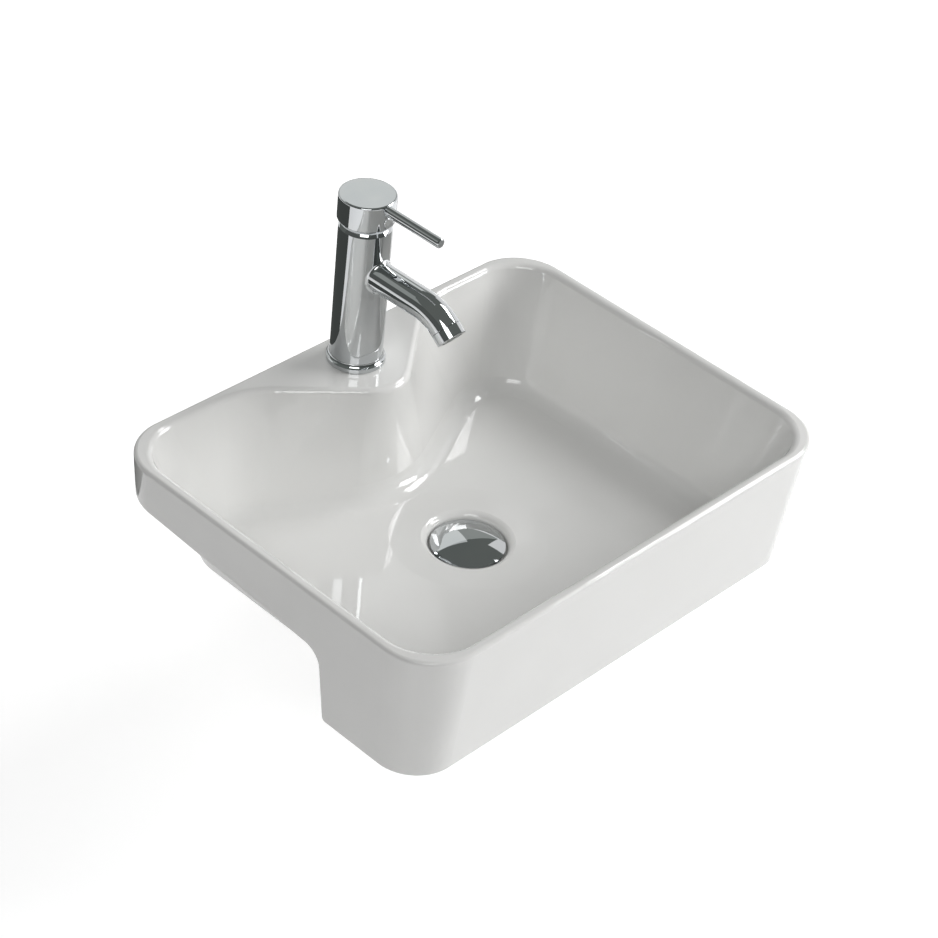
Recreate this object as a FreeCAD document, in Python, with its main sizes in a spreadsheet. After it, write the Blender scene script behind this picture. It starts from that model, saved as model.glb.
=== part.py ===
import FreeCAD, Part
import math
import os

import Sketcher

# Semi recessed wash basin in glazed vitreous china, with a single lever mixer tap and a
# click waste.  Millimetres, +X to the user's right, -Y towards the user, +Z up.
# The origin lies on the counter seat: the underside of the rear skirt, on the centre line.

doc = FreeCAD.newDocument("semi_recessed_basin")

# ---------------------------------------------------------------------------------------
# Driving dimensions
# ---------------------------------------------------------------------------------------

SIZES = {
    # china bowl, outside
    "basin_width": 480.0,
    "basin_depth": 368.0,
    "basin_height": 128.0,
    "outer_corner": 48.0,
    "foot_corner": 40.0,
    "side_taper": 8.5,
    "front_taper": 12.5,
    "rear_taper": 4.0,
    "rim_wall": 10.0,
    "rim_round": 3.2,
    "rim_inner_round": 6.0,
    "foot_round": 4.0,
    # step in the underside: deep block in front, shallow skirt on the counter behind
    "skirt_rear": 42.5,
    "skirt_step": 57.5,
    "step_front": 122.0,
    "seat_inset": 7.0,
    "step_draft": 5.0,
    "step_hollow": 16.0,
    "step_nose": 6.0,
    # china bowl, inside
    "inner_corner": 46.0,
    "bowl_depth": 104.5,
    "side_slope": 37.0,
    "end_slope": 35.0,
    "floor_corner": 40.0,
    "floor_round": 18.0,
    "bowl_wall": 4.8,
    "belly_break": 5.5,
    "belly_floor": 19.5,
    "belly_draw": 16.2,
    # tap ledge
    "ledge_reach": 86.5,
    "ledge_angle": 40.0,
    "ledge_nose_round": 38.0,
    "ledge_flare": 90.0,
    "ledge_foot_reach": 98.5,
    "ledge_foot_angle": 26.0,
    "ledge_foot_round": 95.0,
    "ledge_foot_flare": 60.0,
    "deck_wall": 14.0,
    "tap_setback": 35.3,
    "tap_hole": 17.5,
    "recess_width": 68.0,
    "recess_front": 37.0,
    "recess_rear": 22.5,
    "recess_corner": 18.0,
    # falls to the waste and its sump
    "drain_dish": 68.0,
    "drain_fall": 3.0,
    "sump_radius": 34.2,
    "sump_depth": 12.5,
    "sump_round": 1.5,
    "sump_lip": 8.0,
    "waste_hole": 22.5,
    # mixer body; its top, and the heights of cartridge, rotor, stem, collar and head, from the joint
    "tap_radius": 22.8,
    "tap_top": -4.0,
    "spigot_radius": 17.2,
    "spigot_drop": 8.0,
    "spout_radius": 13.1,
    "spout_bore": 9.0,
    "spout_axis": 93.7,
    "spout_bend": 46.0,
    "spout_reach": 71.0,
    "spout_angle": 38.0,
    "spout_root_round": 3.5,
    "waterway": 3.5,
    "outlet_way": 4.0,
    "outlet_way_y": 8.5,
    "spout_way_start": 2.5,
    "hose_port": 4.5,
    "hose_port_depth": 12.0,
    "hose_port_x": 6.5,
    "hose_port_y": 7.5,
    # foot ring and its gasket
    "foot_ring_radius": 25.5,
    "foot_ring_band": 4.2,
    "foot_ring_height": 8.0,
    "foot_ring_ledge": 4.0,
    "foot_ring_cove": 5.0,
    "foot_ring_gap": 0.4,
    "gasket_inner": 19.0,
    "gasket_outer": 24.0,
    "gasket_thick": 1.2,
    # fixing set under the deck
    "stud_radius": 4.0,
    "stud_grip": 10.0,
    "stud_drop": 52.0,
    "stud_y": 11.5,
    "clamp_radius": 21.5,
    "clamp_rubber": 3.0,
    "clamp_plate": 2.0,
    "clamp_slot": 13.0,
    "clamp_slot_front": 3.0,
    "nut_flats": 13.0,
    "nut_height": 14.0,
    # cartridge
    "cartridge_radius": 17.4,
    "cartridge_seat": -31.6,
    "cartridge_base": 3.0,
    "cartridge_wall": 2.0,
    "cartridge_shoulder": -11.6,
    "cartridge_neck": 15.6,
    "cartridge_top": -6.6,
    "port_radius": 3.5,
    "fixed_disc": 14.8,
    "fixed_disc_thick": 3.0,
    "moving_disc": 12.4,
    "moving_disc_thick": 4.9,
    "moving_disc_shift": 1.6,
    "mixing_way": 5.9,
    "mixing_way_y": 9.0,
    "mixing_way_depth": 2.4,
    "disc_film": 0.05,
    "rotor_radius": 13.4,
    "rotor_flange": 15.0,
    "rotor_flange_thick": 1.5,
    "rotor_foot": -20.3,
    "rotor_top": -5.6,
    "rotor_slot_rear": 9.8,
    "rotor_slot_front": 6.2,
    "pivot_height": -15.1,
    "pivot_pin": 2.0,
    "running_gap": 0.06,
    "small_gap": 0.3,
    "stem_half": 4.0,
    "stem_foot": -18.6,
    "stem_top": 19.4,
    "stem_neck": 1.8,
    "stem_ball": 2.6,
    "stem_arm": 7.0,
    # nut and collar over the cartridge
    "cartridge_nut": 18.5,
    "cartridge_nut_top": -2.6,
    "collar_top": -0.6,
    "collar_hole": 12.6,
    "collar_roof": 1.6,
    # handle
    "joint_height": 137.6,
    "head_radius": 24.5,
    "head_top": 26.4,
    "head_inner": 20.8,
    "head_edge_round": 1.6,
    "head_chamfer": 2.6,
    "head_chamfer_rise": 4.0,
    "head_roof": 11.0,
    "boss_radius": 7.6,
    "boss_foot": 5.4,
    "socket_gap": 0.05,
    "lever_radius": 4.45,
    "lever_drop": 5.1,
    "lever_reach": 85.3,
    "lever_seat": 17.0,
    "lever_chamfer": 0.9,
    "plug_radius": 3.7,
    "plug_lip": 0.5,
    "plug_drop": 15.9,
    "grub_radius": 2.5,
    "grub_length": 6.0,
    "grub_socket": 2.5,
    # aerator
    "aerator_radius": 13.1,
    "aerator_length": 10.0,
    "aerator_bore": 10.6,
    "aerator_lip": 1.4,
    "aerator_thread": 9.8,
    "aerator_thread_bore": 8.4,
    "aerator_thread_length": 5.0,
    "aerator_washer": 1.4,
    "aerator_washer_bore": 7.6,
    "aerator_cells": 6.0,
    "aerator_cell": 0.75,
    "aerator_cell_pitch": 2.9,
    "aerator_cell_depth": 2.5,
    "joint_line": 0.25,
    # click waste
    "waste_seal": 2.0,
    "waste_seal_outer": 29.0,
    "flange_radius": 31.4,
    "flange_thick": 2.6,
    "mouth_radius": 20.0,
    "mouth_drop": 9.0,
    "waste_tube": 20.9,
    "waste_bore": 17.0,
    "waste_length": 70.0,
    "spider_depth": 20.0,
    "spider_height": 8.0,
    "spider_rib": 4.0,
    "spider_arms": 3.0,
    "spider_hub": 9.0,
    "barrel_radius": 6.5,
    "barrel_collar": 8.2,
    "barrel_collar_thick": 2.5,
    "barrel_rise": 12.0,
    "barrel_drop": 14.0,
    "barrel_floor": 2.0,
    "barrel_bore": 4.5,
    "plunger_tail": 1.5,
    "plunger_thread": 3.0,
    "plunger_thread_length": 4.0,
    "cap_travel": 9.0,
    "cap_radius": 32.4,
    "cap_edge": 1.4,
    "cap_crown": 4.6,
    "cap_seat_gap": 0.4,
    "cap_seal_radius": 25.0,
    "cap_seal_width": 3.0,
    "spring_wire": 0.5,
    "spring_coil": 3.4,
    "spring_turns": 6.0,
    "taper_washer": 9.0,
    "taper_washer_top": 26.0,
    "taper_washer_foot": 30.0,
    "slip_washer": 1.6,
    "back_nut": 9.0,
    "back_nut_flats": 54.0,
    "thread_gap": 0.1,
    "tail_radius": 16.0,
    "tail_wall": 1.2,
    "tail_length": 80.0,
    "tail_insert": 14.0,
    "tail_bead": 0.8,
    "tail_seal": 4.0,
    "tail_nut_radius": 25.0,
    "tail_nut_grip": 14.0,
    "tail_nut_floor": 3.0,
    "tail_nut_grooves": 12.0,
    "tail_nut_groove": 1.6,
}

sheet = doc.addObject("Spreadsheet::Sheet", "Sizes")
for row, (word, number) in enumerate(SIZES.items(), start=1):
    sheet.set("A%d" % row, word)
    sheet.set("B%d" % row, repr(number))
    sheet.setAlias("B%d" % row, word)
doc.recompute()


# ---------------------------------------------------------------------------------------
# Lengths that remember the sheet cells they come from
# ---------------------------------------------------------------------------------------

class Length(float):
    """A number together with the expression that binds it to the sheet."""

    def __new__(cls, value, text):
        made = float.__new__(cls, value)
        made.text = text
        return made

    def __add__(self, other):
        return Length(float(self) + float(other), "(%s + %s)" % (self.text, text_of(other)))

    def __radd__(self, other):
        return Length(float(other) + float(self), "(%s + %s)" % (text_of(other), self.text))

    def __sub__(self, other):
        return Length(float(self) - float(other), "(%s - %s)" % (self.text, text_of(other)))

    def __rsub__(self, other):
        return Length(float(other) - float(self), "(%s - %s)" % (text_of(other), self.text))

    def __mul__(self, other):
        return Length(float(self) * float(other), "(%s * %s)" % (self.text, text_of(other)))

    __rmul__ = __mul__

    def __truediv__(self, other):
        return Length(float(self) / float(other), "(%s / %s)" % (self.text, text_of(other)))

    def __neg__(self):
        return Length(-float(self), "(0 - %s)" % self.text)


def text_of(number):
    """The expression of a length, or the plain number."""
    return number.text if isinstance(number, Length) else repr(float(number))


def size(word):
    """The named cell of the sheet."""
    return Length(sheet.get(word), "Sizes." + word)


def over_joint(word):
    """Height over the deck of what is given from the joint between body and handle."""
    return size("joint_height") + size(word)


def sine(angle):
    return Length(math.sin(math.radians(float(angle))), "sin(%s * 1 deg)" % text_of(angle))


def cosine(angle):
    return Length(math.cos(math.radians(float(angle))), "cos(%s * 1 deg)" % text_of(angle))


def root(number):
    return Length(math.sqrt(float(number)), "sqrt(%s)" % text_of(number))


# ---------------------------------------------------------------------------------------
# Sketches and features
# ---------------------------------------------------------------------------------------

FINISHED = []


def new_body(label, x=0.0, y=0.0, z=0.0):
    """An empty body that stands at x, y, z."""
    body = doc.addObject("PartDesign::Body", label)
    body.Label = label
    for axis, number in (("x", x), ("y", y), ("z", z)):
        body.setExpression("Placement.Base." + axis, text_of(number))
    FINISHED.append(body)
    return body


def new_sketch(body, name, plane="XY", offset=None):
    """A sketch on one of the body's own origin planes, moved along its normal by offset."""
    support = next(item for item in body.Origin.OriginFeatures if item.Role == plane + "_Plane")
    sketch = body.newObject("Sketcher::SketchObject", name)
    sketch.AttachmentSupport = [(support, "")]
    sketch.MapMode = "FlatFace"
    if offset is not None:
        sketch.setExpression("AttachmentOffset.Base.z", text_of(offset))
    return sketch


def constrain(sketch, kind, *where, number):
    """A dimension that follows its expression."""
    index = sketch.addConstraint(Sketcher.Constraint(kind, *where, float(number)))
    if isinstance(number, Length):
        sketch.setExpression("Constraints[%d]" % index, number.text)


def arc_between(start, end, radius, turns_left):
    """The short arc from start to end that turns left or right."""
    along = end - start
    reach = math.sqrt(max(float(radius) ** 2 - (along.Length / 2) ** 2, 0.0))
    side = FreeCAD.Vector(-along.y, along.x, 0).normalize()
    centre = (start + end) * 0.5 + side * (reach if turns_left else -reach)
    first, last = (start, end) if turns_left else (end, start)
    angles = [math.atan2(point.y - centre.y, point.x - centre.x) for point in (first, last)]
    circle = Part.Circle(centre, FreeCAD.Vector(0, 0, 1), float(radius))
    return Part.ArcOfCircle(circle, angles[0], angles[1])


def outline(sketch, points, arcs=None, closed=True):
    """Draw points in turn; arcs gives, by the index of its first point, radius and left turn."""
    arcs = arcs or {}
    places = [FreeCAD.Vector(float(x), float(y), 0) for x, y in points]
    count = len(points)
    edges = []
    for index in range(count if closed else count - 1):
        start = places[index]
        end = places[(index + 1) % count]
        if index in arcs:
            radius, turns_left = arcs[index]
            edge = sketch.addGeometry(arc_between(start, end, radius, turns_left))
            constrain(sketch, "Radius", edge, number=radius)
            edges.append((edge, 1, 2) if turns_left else (edge, 2, 1))
        else:
            edges.append((sketch.addGeometry(Part.LineSegment(start, end)), 1, 2))
    for index, (x, y) in enumerate(points):
        edge, first, last = edges[index] if index < len(edges) else edges[-1]
        end = first if index < len(edges) else last
        constrain(sketch, "DistanceX", -1, 1, edge, end, number=x)
        constrain(sketch, "DistanceY", -1, 1, edge, end, number=y)
        if closed or 0 < index < len(edges):
            before = edges[index - 1]
            sketch.addConstraint(Sketcher.Constraint("Coincident", before[0], before[2], edge, first))
    return sketch


def circle(sketch, x, y, radius):
    """Draw a full circle."""
    made = sketch.addGeometry(Part.Circle(FreeCAD.Vector(float(x), float(y), 0), FreeCAD.Vector(0, 0, 1), float(radius)))
    constrain(sketch, "Radius", made, number=radius)
    constrain(sketch, "DistanceX", -1, 1, made, 3, number=x)
    constrain(sketch, "DistanceY", -1, 1, made, 3, number=y)
    return sketch


def rounded(left, right, front, rear, radius):
    """Points and arcs of a rectangle with round corners, anticlockwise from the front left."""
    points = [
        (left + radius, front), (right - radius, front), (right, front + radius), (right, rear - radius),
        (right - radius, rear), (left + radius, rear), (left, rear - radius), (left, front + radius),
    ]
    return points, {index: (radius, True) for index in (1, 3, 5, 7)}


def loft(body, kind, name, first, last):
    """A straight-sided loft between two sketches."""
    made = body.newObject("PartDesign::%sLoft" % kind, name)
    made.Profile = first
    made.Sections = [last]
    made.Ruled = True
    return made


def pad(body, name, sketch, length, reverse=False):
    made = body.newObject("PartDesign::Pad", name)
    made.Profile = sketch
    made.Reversed = reverse
    made.setExpression("Length", text_of(length))
    return made


def pocket(body, name, sketch, length, reverse=False, middle=False):
    """Cut along the sketch's normal, checked to take something away."""
    made = body.newObject("PartDesign::Pocket", name)
    made.Profile = sketch
    made.Reversed = reverse
    if middle:
        made.SideType = "Symmetric"
    made.setExpression("Length", text_of(length))
    return made


def turn(body, kind, name, sketch):
    """Revolve a sketch on the XZ plane about the body's Z axis, to add or to cut."""
    made = body.newObject("PartDesign::" + kind, name)
    made.Profile = sketch
    made.ReferenceAxis = (sketch, ["V_Axis"])
    made.Angle = 360.0
    return made


def polar(body, name, feature, sketch, number):
    """Repeat a feature evenly about the normal through the origin of its sketch."""
    made = body.newObject("PartDesign::PolarPattern", name)
    made.Originals = [feature]
    made.Axis = (sketch, ["N_Axis"])
    made.Angle = 360.0
    made.setExpression("Occurrences", text_of(number))
    body.Tip = made
    return made


def soften(body, kind, name, radius, wanted):
    """Fillet or chamfer the edges of the body's last feature that the test picks."""
    doc.recompute()
    base = body.Tip
    names = ["Edge%d" % number for number, edge in enumerate(base.Shape.Edges, start=1) if wanted(edge)]
    made = body.newObject("PartDesign::" + kind, name)
    made.Base = (base, names)
    made.setExpression("Radius" if kind == "Fillet" else "Size", text_of(radius))
    return made


def level(edge, height, slack=0.01):
    """Whether an edge lies in the plane z = height."""
    box = edge.BoundBox
    return abs(box.ZMin - float(height)) < slack and abs(box.ZMax - float(height)) < slack


def outside(edge, half_x, half_y):
    """Whether an edge runs outside the rectangle of these half sides."""
    box = edge.BoundBox
    reach_x = max(abs(box.XMin), abs(box.XMax))
    reach_y = max(abs(box.YMin), abs(box.YMax))
    return reach_x > float(half_x) or reach_y > float(half_y)


def turned(label, points, arcs=None, x=0.0, y=0.0, z=0.0):
    """A body turned about its own Z axis from one outline of radius and height."""
    body = new_body(label, x, y, z)
    sketch = outline(new_sketch(body, label + "_section", "XZ"), points, arcs)
    turn(body, "Revolution", label + "_turned", sketch)
    return body


# ---------------------------------------------------------------------------------------
# China basin.  Its own frame lies in the middle of the rim, with the rim plane at z = 0.
# ---------------------------------------------------------------------------------------

half_width = size("basin_width") / 2
half_depth = size("basin_depth") / 2
height = size("basin_height")
rim_wall = size("rim_wall")
step_face = size("step_front") - half_depth
skirt_fall = (size("skirt_step") - size("skirt_rear")) / (half_depth - step_face)
seat_inset = size("seat_inset")
belly_bottom = size("bowl_depth") + size("belly_floor")
seat_y = half_depth - seat_inset
seat_depth = size("skirt_rear") + skirt_fall * seat_inset
tap_y = half_depth - size("tap_setback")


def skirt_depth(y):
    """Depth of the sloping underside of the skirt below the rim."""
    return size("skirt_rear") + skirt_fall * (half_depth - y)


def bowl_outline(side, front, rear, corner, nose, angle, nose_round, flare):
    """Outline of the bowl with the tap ledge pushed into its rear side."""
    both = nose_round + flare
    rise = rear - nose
    flare_x = both * sine(angle) + (rise - both * (1 - cosine(angle))) * (cosine(angle) / sine(angle))
    nose_x = nose_round * sine(angle)
    nose_y = nose + nose_round * (1 - cosine(angle))
    slope_x = flare_x - flare * sine(angle)
    slope_y = rear - flare * (1 - cosine(angle))
    points = [
        (corner - side, front), (side - corner, front), (side, front + corner), (side, rear - corner),
        (side - corner, rear), (flare_x, rear), (slope_x, slope_y), (nose_x, nose_y),
        (-nose_x, nose_y), (-slope_x, slope_y), (-flare_x, rear), (corner - side, rear),
        (-side, rear - corner), (-side, front + corner),
    ]
    arcs = {
        1: (corner, True), 3: (corner, True), 5: (flare, True), 7: (nose_round, False),
        9: (flare, True), 11: (corner, True), 13: (corner, True),
    }
    return points, arcs


def build_basin():
    body = new_body("basin", 0.0, -seat_y, seat_depth)

    rim = outline(new_sketch(body, "rim_outline"),
                  *rounded(-half_width, half_width, -half_depth, half_depth, size("outer_corner")))
    side = half_width - size("side_taper")
    foot = outline(new_sketch(body, "foot_outline", offset=-height),
                   *rounded(-side, side, size("front_taper") - half_depth,
                            half_depth - size("rear_taper"), size("foot_corner")))
    loft(body, "Additive", "outer_block", rim, foot)

    over = 40.0
    step = outline(new_sketch(body, "step_profile", "YZ"), [
        (half_depth + over, -skirt_depth(half_depth + over)),
        (step_face, -size("skirt_step")),
        (step_face - size("step_draft"), -height),
        (step_face - size("step_draft"), -height - over),
        (half_depth + over, -height - over),
    ])
    pocket(body, "step_cut", step, half_width * 2 + over, middle=True)
    soften(body, "Fillet", "step_hollow", size("step_hollow"),
           lambda edge: abs(edge.BoundBox.ZMin + float(size("skirt_step"))) < 0.01
           and edge.BoundBox.XLength > float(half_width))
    soften(body, "Fillet", "step_nose", size("step_nose"),
           lambda edge: level(edge, -height) and edge.BoundBox.XLength > float(half_width)
           and edge.BoundBox.YMin > float(step_face - size("step_draft")) - 0.1)
    soften(body, "Fillet", "foot_round", size("foot_round"),
           lambda edge: level(edge, -height) and edge.BoundBox.YMax < float(step_face) - 8)

    # belly: the outside of the bowl below the counter
    wall = size("bowl_wall")
    top = size("skirt_rear") - 6

    def belly_ring(depth, draw=0.0):
        share = depth / size("bowl_depth")
        reach_x = half_width - rim_wall - size("side_slope") * share + wall - draw
        reach_y = half_depth - rim_wall - size("end_slope") * share + wall - draw
        corner = size("inner_corner") - (size("inner_corner") - size("floor_corner")) * share + wall - draw
        return rounded(-reach_x, reach_x, -reach_y, reach_y, corner)

    belly = [
        outline(new_sketch(body, name, offset=-depth), *belly_ring(depth, draw))
        for name, depth, draw in (
            ("belly_top", top, 0.0),
            ("belly_break", size("bowl_depth") - size("belly_break"), 0.0),
            ("belly_bottom", belly_bottom, size("belly_draw")))
    ]
    loft(body, "Additive", "belly_side", belly[0], belly[1])
    loft(body, "Additive", "belly_floor", belly[1], belly[2])

    # bowl with the tap ledge
    opening = outline(new_sketch(body, "bowl_top"), *bowl_outline(
        half_width - rim_wall, rim_wall - half_depth, half_depth - rim_wall, size("inner_corner"),
        half_depth - size("ledge_reach"), size("ledge_angle"), size("ledge_nose_round"), size("ledge_flare")))
    floor_side = half_width - rim_wall - size("side_slope")
    floor_end = half_depth - rim_wall - size("end_slope")
    floor = outline(new_sketch(body, "bowl_floor", offset=-size("bowl_depth")), *bowl_outline(
        floor_side, -floor_end, floor_end, size("floor_corner"),
        half_depth - size("ledge_foot_reach"), size("ledge_foot_angle"), size("ledge_foot_round"),
        size("ledge_foot_flare")))
    loft(body, "Subtractive", "bowl_cut", opening, floor)

    # open recess under the tap, and the tap hole through its roof
    recess = outline(new_sketch(body, "recess_outline", offset=-size("deck_wall")), *rounded(
        -size("recess_width") / 2, size("recess_width") / 2, tap_y - size("recess_front"),
        tap_y + size("recess_rear"), size("recess_corner")))
    pocket(body, "tap_recess", recess, height)
    hole = circle(new_sketch(body, "tap_hole_circle"), 0.0, tap_y, size("tap_hole"))
    pocket(body, "tap_hole", hole, size("deck_wall") + 1)

    # falls to the waste: a shallow dish, then the sump and the waste hole
    floor_z = -size("bowl_depth")
    spill = 0.5
    dish = outline(new_sketch(body, "dish_section", "XZ"), [
        (0.0, floor_z - size("drain_fall")),
        (size("drain_dish") * (1 + spill / size("drain_fall")), floor_z + spill),
        (0.0, floor_z + spill),
    ])
    turn(body, "Groove", "drain_dish", dish)
    soften(body, "Fillet", "floor_round", size("floor_round"),
           lambda edge: level(edge, floor_z) and (edge.BoundBox.XLength > 90 or edge.BoundBox.YLength > 90))
    sump_z = floor_z - size("sump_depth")
    lip_r = size("sump_radius") + size("sump_lip")
    lip_z = floor_z - size("drain_fall") * (1 - lip_r / size("drain_dish")) + 0.1
    sump = outline(new_sketch(body, "sump_section", "XZ"), [
        (0.0, sump_z - 30), (size("waste_hole"), sump_z - 30), (size("waste_hole"), sump_z),
        (size("sump_radius") - size("sump_round"), sump_z),
        (size("sump_radius"), sump_z + size("sump_round")),
        (size("sump_radius"), lip_z - size("sump_lip")), (lip_r, lip_z), (0.0, lip_z),
    ], {3: (size("sump_round"), True), 5: (size("sump_lip"), False)})
    turn(body, "Groove", "sump", sump)
    soften(body, "Fillet", "rim_outer_round", size("rim_round"),
           lambda edge: level(edge, 0) and outside(edge, half_width - rim_wall / 2, half_depth - rim_wall / 2))
    soften(body, "Fillet", "rim_inner_round", size("rim_inner_round"),
           lambda edge: level(edge, 0) and not outside(edge, half_width - rim_wall / 2, half_depth - rim_wall / 2)
           and edge.BoundBox.XLength + edge.BoundBox.YLength > 4 * float(size("tap_hole")) + 1)
    return body


build_basin()


# ---------------------------------------------------------------------------------------
# Mixer tap.  Its frame stands on the deck, on the axis of the tap hole.
# ---------------------------------------------------------------------------------------

deck_place = (0.0, tap_y - seat_y, seat_depth)
gap = size("small_gap")
tap_radius = size("tap_radius")
cartridge_seat = over_joint("cartridge_seat")
pivot = over_joint("pivot_height")
spout_turn = size("spout_angle")
bend_y = size("spout_reach") + size("spout_bend") * sine(spout_turn)
bend_z = size("spout_axis") - size("spout_bend") * (1 - cosine(spout_turn))
mouth_lean = "(Sizes.spout_angle - 90) * 1 deg"


def build_foot_ring():
    low = size("foot_ring_gap")
    inner = tap_radius + size("thread_gap")
    turned("foot_ring", [
        (size("gasket_outer") + size("thread_gap"), low), (size("foot_ring_radius"), low),
        (size("foot_ring_radius"), size("foot_ring_band")), (inner, size("foot_ring_height")),
        (inner, size("foot_ring_ledge")), (size("gasket_inner"), size("foot_ring_ledge")),
        (size("gasket_inner"), size("gasket_thick")),
        (size("gasket_outer") + size("thread_gap"), size("gasket_thick")),
    ], {2: (size("foot_ring_cove"), False)}, *deck_place)
    turned("foot_gasket", [
        (size("gasket_inner"), 0.0), (size("gasket_outer"), 0.0),
        (size("gasket_outer"), size("gasket_thick")), (size("gasket_inner"), size("gasket_thick")),
    ], None, *deck_place)


def build_mixer_body():
    """Cast body with its spout, the seat for the cartridge and the waterways."""
    low = -size("spigot_drop")
    body = turned("mixer_body", [
        (0.0, low), (size("spigot_radius"), low), (size("spigot_radius"), size("foot_ring_ledge")),
        (tap_radius, size("foot_ring_ledge")), (tap_radius, over_joint("tap_top")),
        (size("cartridge_nut") + size("thread_gap"), over_joint("tap_top")),
        (size("cartridge_nut") + size("thread_gap"), over_joint("cartridge_shoulder")),
        (size("cartridge_radius") + size("thread_gap"), over_joint("cartridge_shoulder")),
        (size("cartridge_radius") + size("thread_gap"), cartridge_seat), (0.0, cartridge_seat),
    ], None, *deck_place)

    def route(name, start):
        return outline(new_sketch(body, name, "YZ"), [
            (-start, size("spout_axis")), (-size("spout_reach"), size("spout_axis")), (-bend_y, bend_z),
        ], {1: (size("spout_bend"), True)}, closed=False)

    def tube(kind, name, radius, start):
        ring = circle(new_sketch(body, name + "_ring", "XZ", offset=start), 0.0, size("spout_axis"), radius)
        pipe = body.newObject("PartDesign::%sPipe" % kind, name)
        pipe.Profile = ring
        pipe.Spine = (route(name + "_route", start), ["Edge1", "Edge2"])
        return pipe

    spout_root = root(tap_radius * tap_radius - size("spout_radius") * size("spout_radius")) - gap
    tube("Additive", "spout", size("spout_radius"), spout_root)
    soften(body, "Fillet", "spout_root_round", size("spout_root_round"),
           lambda edge: edge.BoundBox.YMax < -float(tap_radius) / 2 - 1 and edge.BoundBox.YMin > -float(tap_radius) - 1
           and edge.BoundBox.ZLength > float(size("spout_radius")))
    tube("Subtractive", "spout_way", size("spout_bore"), size("spout_way_start"))

    outlet = circle(new_sketch(body, "outlet_circle", offset=cartridge_seat), 0.0, -size("outlet_way_y"),
                    size("outlet_way"))
    pocket(body, "outlet_way", outlet, cartridge_seat - size("spout_axis"))
    for side in (-1, 1):
        x = side * size("hose_port_x")
        way = circle(new_sketch(body, "way_circle_%d" % (side + 1), offset=cartridge_seat), x,
                     size("hose_port_y"), size("waterway"))
        pocket(body, "waterway_%d" % (side + 1), way, cartridge_seat + size("spigot_drop"))
        port = circle(new_sketch(body, "port_circle_%d" % (side + 1), offset=low), x,
                      size("hose_port_y"), size("hose_port"))
        pocket(body, "hose_port_%d" % (side + 1), port, size("hose_port_depth"), reverse=True)
    stud = circle(new_sketch(body, "stud_circle", offset=low), 0.0, -size("stud_y"),
                  size("stud_radius") + size("socket_gap"))
    pocket(body, "stud_hole", stud, size("stud_grip") + size("spigot_drop"), reverse=True)

    mouth = new_sketch(body, "spout_mouth_circle")
    mouth.AttachmentOffset = FreeCAD.Placement(FreeCAD.Vector(), FreeCAD.Rotation(FreeCAD.Vector(1, 0, 0), 1.0))
    mouth.setExpression("AttachmentOffset.Base.y", (-bend_y).text)
    mouth.setExpression("AttachmentOffset.Base.z", bend_z.text)
    mouth.setExpression("AttachmentOffset.Rotation.Angle", mouth_lean)
    circle(mouth, 0.0, 0.0, size("aerator_thread") + size("socket_gap"))
    pocket(body, "spout_mouth", mouth, size("aerator_thread_length") + size("aerator_washer"), reverse=True)


def build_fixing():
    """Stud, horseshoe washers and nut that clamp the mixer to the deck."""
    stud_x, stud_y = 0.0, -size("stud_y")
    under = -size("deck_wall")
    body = new_body("fixing_stud", *deck_place)
    ring = circle(new_sketch(body, "stud_section", offset=-size("stud_drop")), stud_x, stud_y, size("stud_radius"))
    pad(body, "stud_rod", ring, size("stud_drop") + size("stud_grip"))

    def horseshoe(label, top, thick):
        made = new_body(label, *deck_place)
        disc = circle(new_sketch(made, label + "_disc", offset=top - thick), 0.0, 0.0, size("clamp_radius"))
        pad(made, label + "_blank", disc, thick)
        slot = outline(new_sketch(made, label + "_slot", offset=top), [
            (-size("clamp_slot"), -size("clamp_slot_front")), (size("clamp_slot"), -size("clamp_slot_front")),
            (size("clamp_slot"), size("clamp_radius") + 1), (-size("clamp_slot"), size("clamp_radius") + 1),
        ])
        pocket(made, label + "_slot_cut", slot, thick + 1)
        hole = circle(new_sketch(made, label + "_hole", offset=top), stud_x, stud_y,
                      size("stud_radius") + size("thread_gap"))
        pocket(made, label + "_hole_cut", hole, thick + 1)

    horseshoe("clamp_rubber", under, size("clamp_rubber"))
    plate_top = under - size("clamp_rubber")
    horseshoe("clamp_plate", plate_top, size("clamp_plate"))
    hexagon("fixing_nut", size("nut_flats"), size("stud_radius") + size("thread_gap"), size("nut_height"),
            (deck_place[0], deck_place[1] + stud_y, deck_place[2] + plate_top - size("clamp_plate")))


def hexagon(label, flats, bore, thick, place):
    """A hexagon nut that hangs from the height of its place."""
    body = new_body(label, *place)
    corner = flats / 2 / cosine(30.0)
    points = [(corner * math.cos(math.radians(60 * turn_)), corner * math.sin(math.radians(60 * turn_)))
              for turn_ in range(6)]
    pad(body, label + "_blank", outline(new_sketch(body, label + "_hex", offset=-thick), points), thick)
    pocket(body, label + "_bore", circle(new_sketch(body, label + "_circle"), 0.0, 0.0, bore), thick + 1)
    spare = corner - flats / 2 + 1
    for name, z, lift in (("top", thick * 0, -1), ("foot", -thick, 1)):
        corners = outline(new_sketch(body, "%s_%s_section" % (label, name), "XZ"), [
            (flats / 2, z), (corner + 1, z), (corner + 1, z + spare * (sine(30.0) / cosine(30.0)) * lift),
        ])
        turn(body, "Groove", "%s_%s_corners" % (label, name), corners)
    return body


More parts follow.
